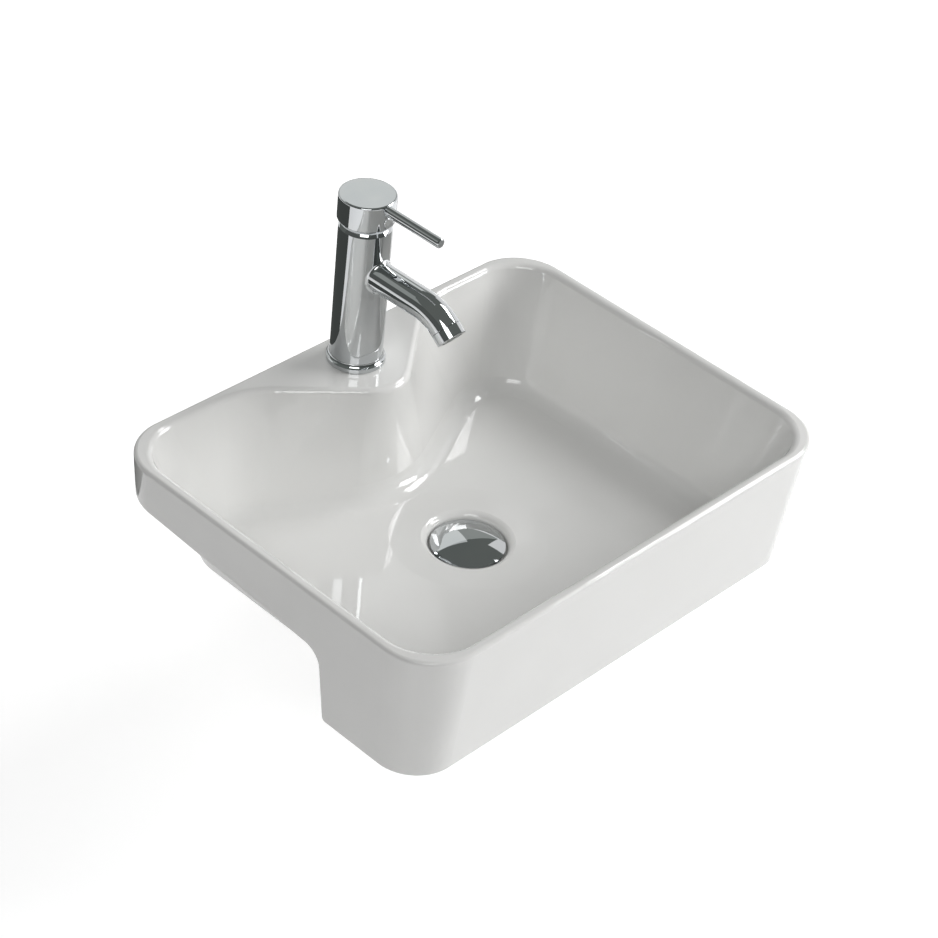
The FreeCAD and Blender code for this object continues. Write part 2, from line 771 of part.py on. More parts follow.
def build_cartridge():
    """Housing, seals, ceramic discs, rotor and pin; the stem belongs to the handle."""
    seat = cartridge_seat
    floor = seat + size("cartridge_base")
    cavity = size("cartridge_radius") - size("cartridge_wall")
    ledge = over_joint("rotor_foot") + size("rotor_flange_thick") + gap
    body = turned("cartridge_housing", [
        (0.0, seat), (size("cartridge_radius"), seat),
        (size("cartridge_radius"), over_joint("cartridge_shoulder")),
        (size("cartridge_neck"), over_joint("cartridge_shoulder")),
        (size("cartridge_neck"), over_joint("cartridge_top")),
        (size("rotor_radius") + size("running_gap"), over_joint("cartridge_top")),
        (size("rotor_radius") + size("running_gap"), ledge), (cavity, ledge), (cavity, floor), (0.0, floor),
    ], None, *deck_place)
    ports(body, "housing", floor, size("cartridge_base"))

    disc_top = floor + size("fixed_disc_thick")
    disc = turned("fixed_disc", [
        (0.0, floor), (size("fixed_disc"), floor), (size("fixed_disc"), disc_top), (0.0, disc_top),
    ], None, *deck_place)
    ports(disc, "fixed_disc", disc_top, size("fixed_disc_thick"))

    low = disc_top + size("disc_film")
    moving = new_body("moving_disc", *deck_place)
    blank = circle(new_sketch(moving, "moving_disc_circle", offset=low), 0.0, size("moving_disc_shift"),
                   size("moving_disc"))
    pad(moving, "moving_disc_blank", blank, size("moving_disc_thick"))
    dimple = circle(new_sketch(moving, "ball_socket_circle", offset=low + size("moving_disc_thick")), 0.0, 0.0,
                    size("stem_ball") + gap)
    pocket(moving, "ball_socket", dimple, size("moving_disc_thick") - gap * 2)
    way = circle(new_sketch(moving, "mixing_way_circle", offset=low), 0.0, -size("mixing_way_y"), size("mixing_way"))
    pocket(moving, "mixing_way", way, size("mixing_way_depth"), reverse=True)

    rotor = turned("cartridge_rotor", [
        (0.0, over_joint("rotor_foot")), (size("rotor_flange"), over_joint("rotor_foot")),
        (size("rotor_flange"), over_joint("rotor_foot") + size("rotor_flange_thick")),
        (size("rotor_radius"), over_joint("rotor_foot") + size("rotor_flange_thick")),
        (size("rotor_radius"), over_joint("rotor_top")), (0.0, over_joint("rotor_top")),
    ], None, *deck_place)
    half = size("stem_half") + gap / 2
    slot = outline(new_sketch(rotor, "stem_slot", offset=over_joint("rotor_top")), [
        (-half, -size("rotor_slot_front")), (half, -size("rotor_slot_front")),
        (half, size("rotor_slot_rear")), (-half, size("rotor_slot_rear")),
    ])
    pocket(rotor, "stem_slot_cut", slot, over_joint("rotor_top") - over_joint("rotor_foot"))
    bore = circle(new_sketch(rotor, "pin_bore_circle", "YZ"), 0.0, pivot, size("pivot_pin") + size("running_gap") / 2)
    pocket(rotor, "pin_bore", bore, size("rotor_flange") * 2, middle=True)

    pin = new_body("pivot_pin", *deck_place)
    rod = circle(new_sketch(pin, "pivot_pin_circle", "YZ"), 0.0, pivot, size("pivot_pin"))
    made = pad(pin, "pivot_pin_rod", rod, (size("rotor_radius") - gap) * 2 * cosine(9.0))
    made.SideType = "Symmetric"

    turned("cartridge_nut", [
        (size("cartridge_neck") + size("thread_gap"), over_joint("cartridge_shoulder")),
        (size("cartridge_nut"), over_joint("cartridge_shoulder")),
        (size("cartridge_nut"), over_joint("cartridge_nut_top")),
        (size("cartridge_neck") + size("thread_gap"), over_joint("cartridge_nut_top")),
    ], None, *deck_place)


def ports(body, name, top, depth):
    """The two inlets and the outlet through a plate of the cartridge."""
    places = {"hot": (-size("hose_port_x"), size("hose_port_y")), "cold": (size("hose_port_x"), size("hose_port_y")),
              "mixed": (0.0, -size("outlet_way_y"))}
    for word, (x, y) in places.items():
        hole = circle(new_sketch(body, "%s_%s_circle" % (name, word), offset=top), x, y, size("port_radius"))
        pocket(body, "%s_%s_port" % (name, word), hole, depth)


def build_collar():
    """Chrome collar whose shoulder is a sphere about the lever's pivot."""
    reach = root(size("head_inner") * size("head_inner")
                 + (size("joint_height") - pivot) * (size("joint_height") - pivot)) - gap
    crest = root(reach * reach - (over_joint("collar_top") - pivot) * (over_joint("collar_top") - pivot))
    foot = root(reach * reach - tap_radius * tap_radius) + pivot
    roof = over_joint("collar_top") - size("collar_roof")
    turned("collar", [
        (size("cartridge_nut") + gap, over_joint("tap_top")), (tap_radius, over_joint("tap_top")),
        (tap_radius, foot),
        (crest, over_joint("collar_top")), (size("collar_hole"), over_joint("collar_top")),
        (size("collar_hole"), roof),
        (size("cartridge_nut") + gap, roof),
    ], {2: (reach, True)}, *deck_place)


def build_handle():
    head_radius = size("head_radius")
    top = over_joint("head_top")
    joint = size("joint_height")
    inner = size("head_inner")
    roof = top - size("head_roof")
    body = turned("handle_head", [
        (inner, joint), (head_radius - size("head_chamfer"), joint),
        (head_radius, joint + size("head_chamfer_rise")),
        (head_radius, top - size("head_edge_round")), (head_radius - size("head_edge_round"), top),
        (0.0, top),
        (0.0, over_joint("boss_foot")), (size("boss_radius"), over_joint("boss_foot")),
        (size("boss_radius"), roof), (inner, roof),
    ], {3: (size("head_edge_round"), True)}, *deck_place)
    stem_half = size("stem_half")
    half = stem_half + size("socket_gap")
    socket = outline(new_sketch(body, "stem_socket", offset=over_joint("boss_foot")),
                     [(-half, -half), (half, -half), (half, half), (-half, half)])
    pocket(body, "stem_socket_cut", socket, over_joint("stem_top") + gap - over_joint("boss_foot"), reverse=True)
    lever_z = top - size("lever_drop")
    plug_z = top - size("plug_drop")
    seat = circle(new_sketch(body, "lever_seat_circle", "XZ", offset=head_radius), 0.0, lever_z,
                  size("lever_radius") + size("socket_gap"))
    pocket(body, "lever_seat", seat, size("lever_seat") + size("socket_gap"))
    hole = circle(new_sketch(body, "plug_hole_circle", "XZ", offset=head_radius), 0.0, plug_z,
                  size("plug_radius") + size("socket_gap"))
    pocket(body, "plug_hole", hole, head_radius - size("boss_radius"))
    grub_hole = circle(new_sketch(body, "grub_hole_circle", "XZ", offset=head_radius), 0.0, plug_z,
                       size("grub_radius") + size("socket_gap"))
    pocket(body, "grub_hole", grub_hole, head_radius)

    lever = new_body("lever_rod", *deck_place)
    start = head_radius - size("lever_seat")
    rod = circle(new_sketch(lever, "lever_circle", "XZ", offset=start), 0.0, lever_z, size("lever_radius"))
    pad(lever, "lever_bar", rod, size("lever_reach") - start)
    soften(lever, "Chamfer", "lever_end", size("lever_chamfer"),
           lambda edge: edge.BoundBox.YMax < -float(size("lever_reach")) + 0.1)

    plug = new_body("index_plug", *deck_place)
    disc = circle(new_sketch(plug, "plug_circle", "XZ", offset=inner), 0.0, plug_z, size("plug_radius"))
    pad(plug, "plug_disc", disc, head_radius + size("plug_lip") - inner)
    soften(plug, "Fillet", "plug_edge", size("plug_lip"),
           lambda edge: edge.BoundBox.YMax < -float(head_radius))

    grub = new_body("grub_screw", *deck_place)
    screw = circle(new_sketch(grub, "grub_circle", "XZ", offset=stem_half), 0.0, plug_z, size("grub_radius"))
    pad(grub, "grub_blank", screw, size("grub_length"))
    corner = size("grub_socket") / 2 / cosine(30.0)
    points = [(corner * math.sin(math.radians(60 * turn_)), plug_z + corner * math.cos(math.radians(60 * turn_)))
              for turn_ in range(6)]
    key = outline(new_sketch(grub, "grub_key", "XZ", offset=stem_half + size("grub_length")), points)
    pocket(grub, "grub_key_cut", key, size("grub_socket"))

    ball_z = pivot - size("stem_arm")
    stem = turned("lever_stem", [
        (0.0, ball_z - size("stem_ball")), (size("stem_ball"), ball_z),
        (size("stem_neck"), over_joint("stem_foot") - 1.2),
        (size("stem_neck"), over_joint("stem_foot") + 1), (0.0, over_joint("stem_foot") + 1),
    ], {0: (size("stem_ball"), True), 1: (size("stem_ball") * 1.2, True)}, *deck_place)
    square = outline(new_sketch(stem, "stem_square", offset=over_joint("stem_foot")),
                     [(-stem_half, -stem_half), (stem_half, -stem_half), (stem_half, stem_half), (-stem_half, stem_half)])
    pad(stem, "stem_bar", square, over_joint("stem_top") - over_joint("stem_foot"))
    bore = circle(new_sketch(stem, "stem_bore_circle", "YZ"), 0.0, pivot, size("pivot_pin") + size("running_gap"))
    pocket(stem, "stem_bore", bore, stem_half * 4, middle=True)


def build_aerator():
    """Sleeve, washer and insert on the slanting end of the spout; local -Z is the flow."""
    place = (deck_place[0], deck_place[1] - bend_y, deck_place[2] + bend_z)
    line = size("joint_line")
    low = -size("aerator_length")
    outer = size("aerator_radius")
    bore = size("aerator_bore")
    lip = size("aerator_lip")
    thread = size("aerator_thread")
    thread_top = size("aerator_thread_length")
    sleeve = turned("aerator_sleeve", [
        (size("aerator_thread_bore"), thread_top), (thread, thread_top), (thread, -line),
        (outer - line, -line),
        (outer, -line * 2), (outer, low + line * 2), (outer - line * 2, low), (bore - lip, low),
        (bore - lip, low + lip), (bore, low + lip), (bore, -lip), (size("aerator_thread_bore"), -lip),
    ], None, *place)
    washer = turned("aerator_washer", [
        (size("aerator_washer_bore"), thread_top), (thread, thread_top),
        (thread, thread_top + size("aerator_washer")),
        (size("aerator_washer_bore"), thread_top + size("aerator_washer")),
    ], None, *place)
    insert = turned("aerator_insert", [
        (0.0, low + lip), (bore - size("socket_gap"), low + lip), (bore - size("socket_gap"), -lip),
        (0.0, -lip),
    ], None, *place)
    for ring in (1, 2):
        cell = circle(new_sketch(insert, "cell_circle_%d" % ring, offset=low + lip), size("aerator_cell_pitch") * ring,
                      0.0, size("aerator_cell"))
        cut = pocket(insert, "cell_%d" % ring, cell, size("aerator_cell_depth"), reverse=True)
        polar(insert, "cells_%d" % ring, cut, cell, size("aerator_cells") * ring)
    for body in (sleeve, washer, insert):
        body.Placement.Rotation = FreeCAD.Rotation(FreeCAD.Vector(1, 0, 0), 1.0)
        body.setExpression("Placement.Rotation.Angle", mouth_lean)


build_foot_ring()
build_mixer_body()
build_fixing()
build_cartridge()
build_collar()
build_handle()
build_aerator()


# ---------------------------------------------------------------------------------------
# Click waste.  Its frame stands on the seat in the sump, on the middle of the basin.
# ---------------------------------------------------------------------------------------

sump_place = (0.0, -seat_y, seat_depth - size("bowl_depth") - size("sump_depth"))
flange_foot = size("waste_seal")
flange_top = flange_foot + size("flange_thick")
spider_top = -size("spider_depth")
barrel_low = spider_top - size("barrel_drop")
shelf = size("bowl_depth") + size("sump_depth") - belly_bottom


def build_waste_body():
    bore = size("waste_bore")
    body = turned("waste_body", [
        (bore, -size("waste_length")), (size("waste_tube"), -size("waste_length")),
        (size("waste_tube"), flange_foot), (size("flange_radius"), flange_foot),
        (size("flange_radius"), flange_top),
        (size("mouth_radius"), flange_top), (bore, flange_top - size("mouth_drop")),
    ], None, *sump_place)
    rib = size("spider_rib") / 2
    reach = bore + size("thread_gap") * 4
    bar = outline(new_sketch(body, "spider_rib_section", offset=spider_top),
                  [(-rib, 0.0), (rib, 0.0), (rib, reach), (-rib, reach)])
    arm = pad(body, "spider_arm", bar, size("spider_height"), reverse=True)
    polar(body, "spider_arms", arm, bar, size("spider_arms"))
    hub = circle(new_sketch(body, "spider_hub_circle", offset=spider_top), 0.0, 0.0, size("spider_hub"))
    pad(body, "spider_hub", hub, size("spider_height"), reverse=True)
    hole = circle(new_sketch(body, "spider_bore_circle", offset=spider_top), 0.0, 0.0,
                  size("barrel_radius") + size("thread_gap"))
    pocket(body, "spider_bore", hole, size("spider_height") + 1)


def build_waste_cap():
    """Domed cap, its seal, the plunger and the click barrel with its spring."""
    cap_foot = flange_top + size("cap_seat_gap")
    edge = cap_foot + size("cap_edge")
    radius = size("cap_radius")
    crown = size("cap_crown")
    sphere = (radius * radius + crown * crown) / (crown * 2)
    groove_in = size("cap_seal_radius")
    groove_out = groove_in + size("cap_seal_width")
    thread = size("plunger_thread") + size("socket_gap")
    thread_top = cap_foot + size("plunger_thread_length") + gap
    turned("waste_cap", [
        (thread, cap_foot), (groove_in, cap_foot), (groove_in, cap_foot + size("cap_edge") / 2),
        (groove_out, cap_foot + size("cap_edge") / 2), (groove_out, cap_foot), (radius, cap_foot),
        (radius, edge), (0.0, edge + crown), (0.0, thread_top), (thread, thread_top),
    ], {6: (sphere, True)}, *sump_place)
    turned("cap_seal", [
        (groove_in + line_gap, cap_foot - size("cap_seat_gap") + 0.1),
        (groove_out - line_gap, cap_foot - size("cap_seat_gap") + 0.1),
        (groove_out - line_gap, cap_foot + size("cap_edge") / 2),
        (groove_in + line_gap, cap_foot + size("cap_edge") / 2),
    ], None, *sump_place)
    tail = barrel_low + size("barrel_floor") + size("spring_turns") * size("plunger_tail")
    slide = size("barrel_bore") - size("running_gap")
    turned("click_plunger", [
        (0.0, tail), (slide, tail), (slide, cap_foot), (size("plunger_thread"), cap_foot),
        (size("plunger_thread"), cap_foot + size("plunger_thread_length")),
        (0.0, cap_foot + size("plunger_thread_length")),
    ], None, *sump_place)
    collar_top = spider_top + size("barrel_collar_thick")
    turned("click_barrel", [
        (0.0, barrel_low), (size("barrel_radius"), barrel_low), (size("barrel_radius"), spider_top),
        (size("barrel_collar"), spider_top), (size("barrel_collar"), collar_top),
        (size("barrel_radius"), collar_top), (size("barrel_radius"), spider_top + size("barrel_rise")),
        (size("barrel_bore"), spider_top + size("barrel_rise")),
        (size("barrel_bore"), barrel_low + size("barrel_floor")),
        (0.0, barrel_low + size("barrel_floor")),
    ], None, *sump_place)

    wire = size("spring_wire")
    coil = new_body("click_spring", *sump_place)
    start = barrel_low + size("barrel_floor") + wire
    coil_radius = size("spring_coil")
    ring = outline(new_sketch(coil, "spring_wire_section", "XZ"), [
        (coil_radius - wire, start - wire), (coil_radius + wire, start - wire),
        (coil_radius + wire, start + wire), (coil_radius - wire, start + wire),
    ])
    helix = coil.newObject("PartDesign::AdditiveHelix", "spring_helix")
    helix.Profile = ring
    helix.ReferenceAxis = (ring, ["V_Axis"])
    helix.Mode = "height-turns-angle"
    helix.setExpression("Height", (tail - start - wire).text)
    helix.setExpression("Turns", "Sizes.spring_turns")


def build_waste_fixings():
    """What clamps the waste to the floor of the basin from below, and the tail pipe."""
    bore = size("waste_tube") + size("thread_gap")
    turned("waste_seal", [
        (bore, 0.0), (size("waste_seal_outer"), 0.0), (size("waste_seal_outer"), flange_foot),
        (bore, flange_foot),
    ], None, *sump_place)
    turned("taper_washer", [
        (bore, shelf), (size("taper_washer_top"), shelf),
        (size("taper_washer_foot"), shelf - size("taper_washer") / 2),
        (size("taper_washer_foot"), shelf - size("taper_washer")), (bore, shelf - size("taper_washer")),
    ], None, *sump_place)
    slip_top = shelf - size("taper_washer")
    turned("slip_washer", [
        (bore, slip_top - size("slip_washer")), (size("taper_washer_foot"), slip_top - size("slip_washer")),
        (size("taper_washer_foot"), slip_top), (bore, slip_top),
    ], None, *sump_place)
    hexagon("back_nut", size("back_nut_flats"), bore, size("back_nut"),
            (sump_place[0], sump_place[1], sump_place[2] + slip_top - size("slip_washer")))

    foot = -size("waste_length")
    seal_low = foot - size("tail_seal")
    pipe_top = foot + size("tail_insert")
    pipe_low = seal_low - size("tail_nut_floor") - size("tail_length")
    pipe = size("tail_radius")
    bead_top = seal_low - size("tail_nut_floor") - gap
    turned("tail_pipe", [
        (pipe - size("tail_wall"), pipe_low), (pipe, pipe_low), (pipe, bead_top - size("tail_bead") * 2),
        (pipe + size("tail_bead"), bead_top - size("tail_bead")), (pipe, bead_top), (pipe, pipe_top),
        (pipe - size("tail_wall"), pipe_top),
    ], None, *sump_place)
    turned("tail_seal", [
        (pipe + size("thread_gap"), seal_low), (size("waste_tube"), seal_low), (size("waste_tube"), foot),
        (pipe + size("thread_gap"), foot),
    ], None, *sump_place)
    nut_low = seal_low - size("tail_nut_floor")
    nut = turned("tail_nut", [
        (pipe + gap, nut_low), (size("tail_nut_radius"), nut_low),
        (size("tail_nut_radius"), foot + size("tail_nut_grip")), (bore, foot + size("tail_nut_grip")),
        (bore, seal_low), (pipe + gap, seal_low),
    ], None, *sump_place)
    notch = circle(new_sketch(nut, "tail_nut_notch", offset=nut_low), size("tail_nut_radius"), 0.0,
                   size("tail_nut_groove"))
    cut = pocket(nut, "tail_nut_groove_cut", notch, size("tail_nut_grip") + size("tail_seal") + size("tail_nut_floor"),
                 reverse=True)
    polar(nut, "tail_nut_grooves_cut", cut, notch, size("tail_nut_grooves"))


line_gap = size("joint_line") / 2
build_waste_body()
build_waste_cap()
build_waste_fixings()


# ---------------------------------------------------------------------------------------
# Check every object, then write each piece
# ---------------------------------------------------------------------------------------

doc.recompute()
failed = [thing.Name for thing in doc.Objects if "Invalid" in thing.State or "Error" in thing.State]
for body in FINISHED:
    if body.Shape.isNull() or not body.Shape.isValid() or body.Shape.Volume <= 0:
        failed.append(body.Label)
if failed:
    raise SystemExit("not built: " + ", ".join(sorted(set(failed))))

os.makedirs("parts", exist_ok=True)
for body in FINISHED:
    body.Shape.exportStep("parts/%s.step" % body.Label)
    print("%-20s %2d solid %10.1f mm3" % (body.Label, len(body.Shape.Solids), body.Shape.Volume))
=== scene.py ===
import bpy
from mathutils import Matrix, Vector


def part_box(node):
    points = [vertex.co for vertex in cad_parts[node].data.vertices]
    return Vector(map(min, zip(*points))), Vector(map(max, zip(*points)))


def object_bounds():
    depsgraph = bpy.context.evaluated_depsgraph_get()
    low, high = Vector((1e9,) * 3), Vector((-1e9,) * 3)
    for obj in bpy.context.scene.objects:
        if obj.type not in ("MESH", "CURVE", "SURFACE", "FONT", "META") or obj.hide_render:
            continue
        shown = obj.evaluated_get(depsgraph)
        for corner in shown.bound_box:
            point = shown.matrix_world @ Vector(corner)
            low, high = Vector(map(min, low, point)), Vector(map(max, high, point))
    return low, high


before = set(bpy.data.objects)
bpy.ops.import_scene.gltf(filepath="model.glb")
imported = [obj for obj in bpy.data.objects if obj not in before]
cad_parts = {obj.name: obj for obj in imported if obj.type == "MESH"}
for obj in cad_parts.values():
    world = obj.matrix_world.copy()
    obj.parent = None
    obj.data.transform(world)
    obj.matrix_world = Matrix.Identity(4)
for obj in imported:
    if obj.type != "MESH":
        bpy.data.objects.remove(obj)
CAD_BOX = [list(corner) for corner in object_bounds()]

import logging
import math
from dataclasses import dataclass, field
from enum import Enum

import bmesh
import bpy
from mathutils import Matrix, Vector

LOG = logging.getLogger("basin")
MM = 0.001
WHITE = (1.0, 1.0, 1.0, 1.0)
BLACK = (0.0, 0.0, 0.0, 1.0)

# Noise levels at which a finish shows its first and its second colour pure
FIRST_AT, SECOND_AT = 0.35, 0.65
# Octaves of finer noise in the colour, the polish and the relief
COLOUR_DETAIL, POLISH_DETAIL, RELIEF_DETAIL = 2.0, 3.0, 1.0
# Patches of polish, in sizes of the relief
POLISH_PATCH = 4
COAT_ROUGHNESS = 0.02

FLOOR_DROP_MM = 1.0
FLOOR_LEVEL = CAD_BOX[0][2] - FLOOR_DROP_MM * MM


# ---------------------------------------------------------------------------
# Colour, nodes and flat sheets
# ---------------------------------------------------------------------------

def linear(code: str) -> tuple[float, float, float, float]:
    """Turn an sRGB hex colour to linear RGBA.

    Args:
        code: Six hex digits.

    Returns:
        Linear red, green, blue and an alpha of 1.
    """
    shares = [int(code[place:place + 2], 16) / 255 for place in (0, 2, 4)]
    red, green, blue = (s / 12.92 if s <= 0.04045 else ((s + 0.055) / 1.055) ** 2.4 for s in shares)
    return red, green, blue, 1.0


def add_node(tree: bpy.types.NodeTree, kind: str, settings: dict | None = None,
             inputs: dict | None = None) -> bpy.types.Node:
    """Add a node with its settings, values and links.

    Args:
        tree: The node tree.
        kind: The node's type name.
        settings: Attributes of the node itself.
        inputs: Input name or index to a value, or to an output socket to link from.

    Returns:
        The new node.
    """
    node = tree.nodes.new(kind)
    for name, value in (settings or {}).items():
        setattr(node, name, value)
    for name, value in (inputs or {}).items():
        if isinstance(value, bpy.types.NodeSocket):
            tree.links.new(value, node.inputs[name])
        else:
            node.inputs[name].default_value = value
    return node


def new_paint(name: str, values: dict) -> tuple[bpy.types.Material, bpy.types.Node]:
    """Make a material and set what is constant on its shader.

    Args:
        name: The material's name.
        values: Socket name to value.

    Returns:
        The material and its shader.
    """
    made = bpy.data.materials.new(name)
    made.use_nodes = True
    shader = made.node_tree.nodes["Principled BSDF"]
    for socket, value in values.items():
        shader.inputs[socket].default_value = value
    return made, shader


def heading(bearing_deg: float, rise_deg: float) -> Vector:
    """Direction from the basin out to a camera or a lamp.

    Args:
        bearing_deg: Where it stands, from -Y towards +X.
        rise_deg: Its height above the horizon.

    Returns:
        The unit vector.
    """
    bearing, rise = math.radians(bearing_deg), math.radians(rise_deg)
    return Vector((math.sin(bearing) * math.cos(rise), -math.cos(bearing) * math.cos(rise),
                   math.sin(rise)))


def flat_sheet(name: str, side_m: tuple[float, float], level_m: float = 0.0) -> bpy.types.Object:
    """Make a level rectangle, centred on the origin.

    Args:
        name: The object's name.
        side_m: Its sides along X and Y.
        level_m: Its height.

    Returns:
        The new object, in the scene.
    """
    wide, high = (side / 2 for side in side_m)
    build = bmesh.new()
    build.faces.new([build.verts.new((x, y, level_m)) for x, y in
                     ((-wide, -high), (wide, -high), (wide, high), (-wide, high))])
    data = bpy.data.meshes.new(name)
    build.to_mesh(data)
    build.free()
    sheet = bpy.data.objects.new(name, data)
    bpy.context.scene.collection.objects.link(sheet)
    return sheet


# ---------------------------------------------------------------------------
# Finishes
# ---------------------------------------------------------------------------

@dataclass(frozen=True)
class Finish:
    """A material, named for what the real one is.

    Attributes:
        name: The material's name.
        colour: Main sRGB colour.
        second: sRGB colour that the main one drifts to.
        drift_mm: Size of the drift in the surface's colour.
        metallic: 1 for a bare or plated metal.
        roughness: Mean roughness.
        spread: How far the roughness wanders either way.
        grain_mm: Size of the surface's relief.
        relief_mm: Height of that relief.
        ior: Index of refraction of what isn't metal.
        coat: Weight of a clear layer on top.
    """

    name: str
    colour: str
    second: str
    drift_mm: float
    metallic: float
    roughness: float
    spread: float
    grain_mm: float
    relief_mm: float
    ior: float = 1.5
    coat: float = 0.0

    def build(self) -> bpy.types.Material:
        """Make the node material.

        Returns:
            The material.
        """
        values = {"Metallic": self.metallic}
        if not self.metallic:
            values["IOR"] = self.ior
        if self.coat:
            values |= {"Coat Weight": self.coat, "Coat Roughness": COAT_ROUGHNESS}
        made, shader = new_paint(self.name, values)
        tree = made.node_tree
        place = add_node(tree, "ShaderNodeTexCoord").outputs["Object"]
        self.paint(tree, shader, place)
        self.polish(tree, shader, place)
        self.texture(tree, shader, place)
        return made

    def noise(self, tree: bpy.types.NodeTree, place: bpy.types.NodeSocket, size_mm: float,
              detail: float) -> bpy.types.NodeSocket:
        """Noise whose blobs are about size_mm across.

        Args:
            tree: The node tree.
            place: Object coordinates, in metres.
            size_mm: Size of a blob.
            detail: Octaves of finer noise.

        Returns:
            The noise's value from 0 to 1.
        """
        made = add_node(tree, "ShaderNodeTexNoise", inputs={
            "Vector": place, "Scale": 1 / (size_mm * MM), "Detail": detail})
        return made.outputs[0]

    def paint(self, tree: bpy.types.NodeTree, shader: bpy.types.Node,
              place: bpy.types.NodeSocket) -> None:
        """Let the colour drift softly between the two given.

        Args:
            tree: The node tree.
            shader: The node that takes the colour.
            place: Object coordinates, in metres.
        """
        blend = add_node(tree, "ShaderNodeValToRGB", inputs={
            "Fac": self.noise(tree, place, self.drift_mm, COLOUR_DETAIL)})
        first, second = blend.color_ramp.elements
        first.position, first.color = FIRST_AT, linear(self.colour)
        second.position, second.color = SECOND_AT, linear(self.second)
        tree.links.new(blend.outputs["Color"], shader.inputs["Base Color"])

    def polish(self, tree: bpy.types.NodeTree, shader: bpy.types.Node,
               place: bpy.types.NodeSocket) -> None:
        """Let the roughness wander a little, as handling and casting leave it.

        Args:
            tree: The node tree.
            shader: The node that takes the roughness.
            place: Object coordinates, in metres.
        """
        wander = add_node(tree, "ShaderNodeMapRange", inputs={
            "Value": self.noise(tree, place, self.grain_mm * POLISH_PATCH, POLISH_DETAIL),
            "To Min": max(self.roughness - self.spread, 0.0), "To Max": self.roughness + self.spread})
        tree.links.new(wander.outputs[0], shader.inputs["Roughness"])

    def texture(self, tree: bpy.types.NodeTree, shader: bpy.types.Node,
                place: bpy.types.NodeSocket) -> None:
        """Give the surface its relief.

        Args:
            tree: The node tree.
            shader: The node that takes the relief.
            place: Object coordinates, in metres.
        """
        bump = add_node(tree, "ShaderNodeBump", inputs={
            "Height": self.noise(tree, place, self.grain_mm, RELIEF_DETAIL),
            "Distance": self.relief_mm * MM, "Strength": 1.0})
        tree.links.new(bump.outputs["Normal"], shader.inputs["Normal"])


# Vitreous china, slip cast and dipped in a clear glossy glaze: a clean white that shows a sharp,
# slightly wavy reflection, because the glaze levels itself over about 30 mm.
GLAZED_CHINA = Finish("glazed_vitreous_china", "EEEEEC", "ECECEA", drift_mm=90.0, metallic=0.0,
                      roughness=0.05, spread=0.015, grain_mm=34.0, relief_mm=0.010, ior=1.52, coat=0.4)
# Cast brass, polished and chrome plated: a neutral mirror with a hint of blue.
CHROME_PLATE = Finish("chrome_plated_brass", "CBCDCE", "C6C9CB", drift_mm=30.0, metallic=1.0,
                      roughness=0.025, spread=0.012, grain_mm=9.0, relief_mm=0.0004)
# Turned brass, left bare inside: warm yellow with a soft machined shine.
TURNED_BRASS = Finish("turned_brass", "C9AC6B", "BE9F5C", drift_mm=14.0, metallic=1.0,
                      roughness=0.28, spread=0.06, grain_mm=0.8, relief_mm=0.006)
# Zinc plated steel: cool grey, half dull.
ZINC_STEEL = Finish("zinc_plated_steel", "A9ACAE", "9EA2A6", drift_mm=9.0, metallic=1.0,
                    roughness=0.34, spread=0.08, grain_mm=0.9, relief_mm=0.008)
# Moulded nitrile rubber: near black and matt, with a faint grain.
NITRILE = Finish("moulded_nitrile_rubber", "1B1B1C", "222223", drift_mm=12.0, metallic=0.0,
                 roughness=0.62, spread=0.08, grain_mm=0.7, relief_mm=0.020, ior=1.52)
# Sintered and lapped alumina: creamy white with a satin face.
LAPPED_ALUMINA = Finish("lapped_alumina", "EDE9DF", "E6E1D4", drift_mm=8.0, metallic=0.0,
                        roughness=0.22, spread=0.05, grain_mm=0.6, relief_mm=0.004, ior=1.77)
# Injection moulded acetal: a slightly grey white with a fine spark-eroded texture.
ACETAL = Finish("moulded_acetal", "DAD9D4", "D3D2CC", drift_mm=14.0, metallic=0.0,
                roughness=0.42, spread=0.06, grain_mm=0.5, relief_mm=0.010, ior=1.48)
# The darker grade of the same for the cartridge's housing: mid grey and as softly matt.
GREY_ACETAL = Finish("moulded_grey_acetal", "8C8E90", "848789", drift_mm=14.0, metallic=0.0,
                     roughness=0.42, spread=0.06, grain_mm=0.5, relief_mm=0.010, ior=1.48)
# Chrome plated ABS plug: a bright cap, a little softer in its shine than the brass round it.
INDEX_ABS = Finish("chrome_plated_abs", "DCDEDF", "D6D8DA", drift_mm=6.0, metallic=1.0,
                   roughness=0.10, spread=0.02, grain_mm=1.2, relief_mm=0.002)


class Use(Enum):
    """What a CAD piece is made of, and the finish that shows it."""

    CHINA = GLAZED_CHINA
    CHROME = CHROME_PLATE
    BRASS = TURNED_BRASS
    STEEL = ZINC_STEEL
    RUBBER = NITRILE
    ALUMINA = LAPPED_ALUMINA
    WHITE = ACETAL
    GREY = GREY_ACETAL
    INDEX = INDEX_ABS


DRESS = {
    Use.CHINA: ["basin"],
    Use.CHROME: ["foot_ring", "mixer_body", "collar", "handle_head", "lever_rod", "aerator_sleeve",
                 "waste_body", "waste_cap", "tail_pipe", "tail_nut"],
    Use.BRASS: ["fixing_nut", "cartridge_nut", "lever_stem", "click_plunger", "back_nut"],
    Use.STEEL: ["fixing_stud", "clamp_plate", "pivot_pin", "grub_screw", "click_spring"],
    Use.RUBBER: ["foot_gasket", "clamp_rubber", "aerator_washer", "cap_seal", "waste_seal",
                 "taper_washer", "tail_seal"],
    Use.ALUMINA: ["fixed_disc", "moving_disc"],
    Use.WHITE: ["cartridge_rotor", "aerator_insert", "click_barrel", "slip_washer"],
    Use.GREY: ["cartridge_housing"],
    Use.INDEX: ["index_plug"],
}


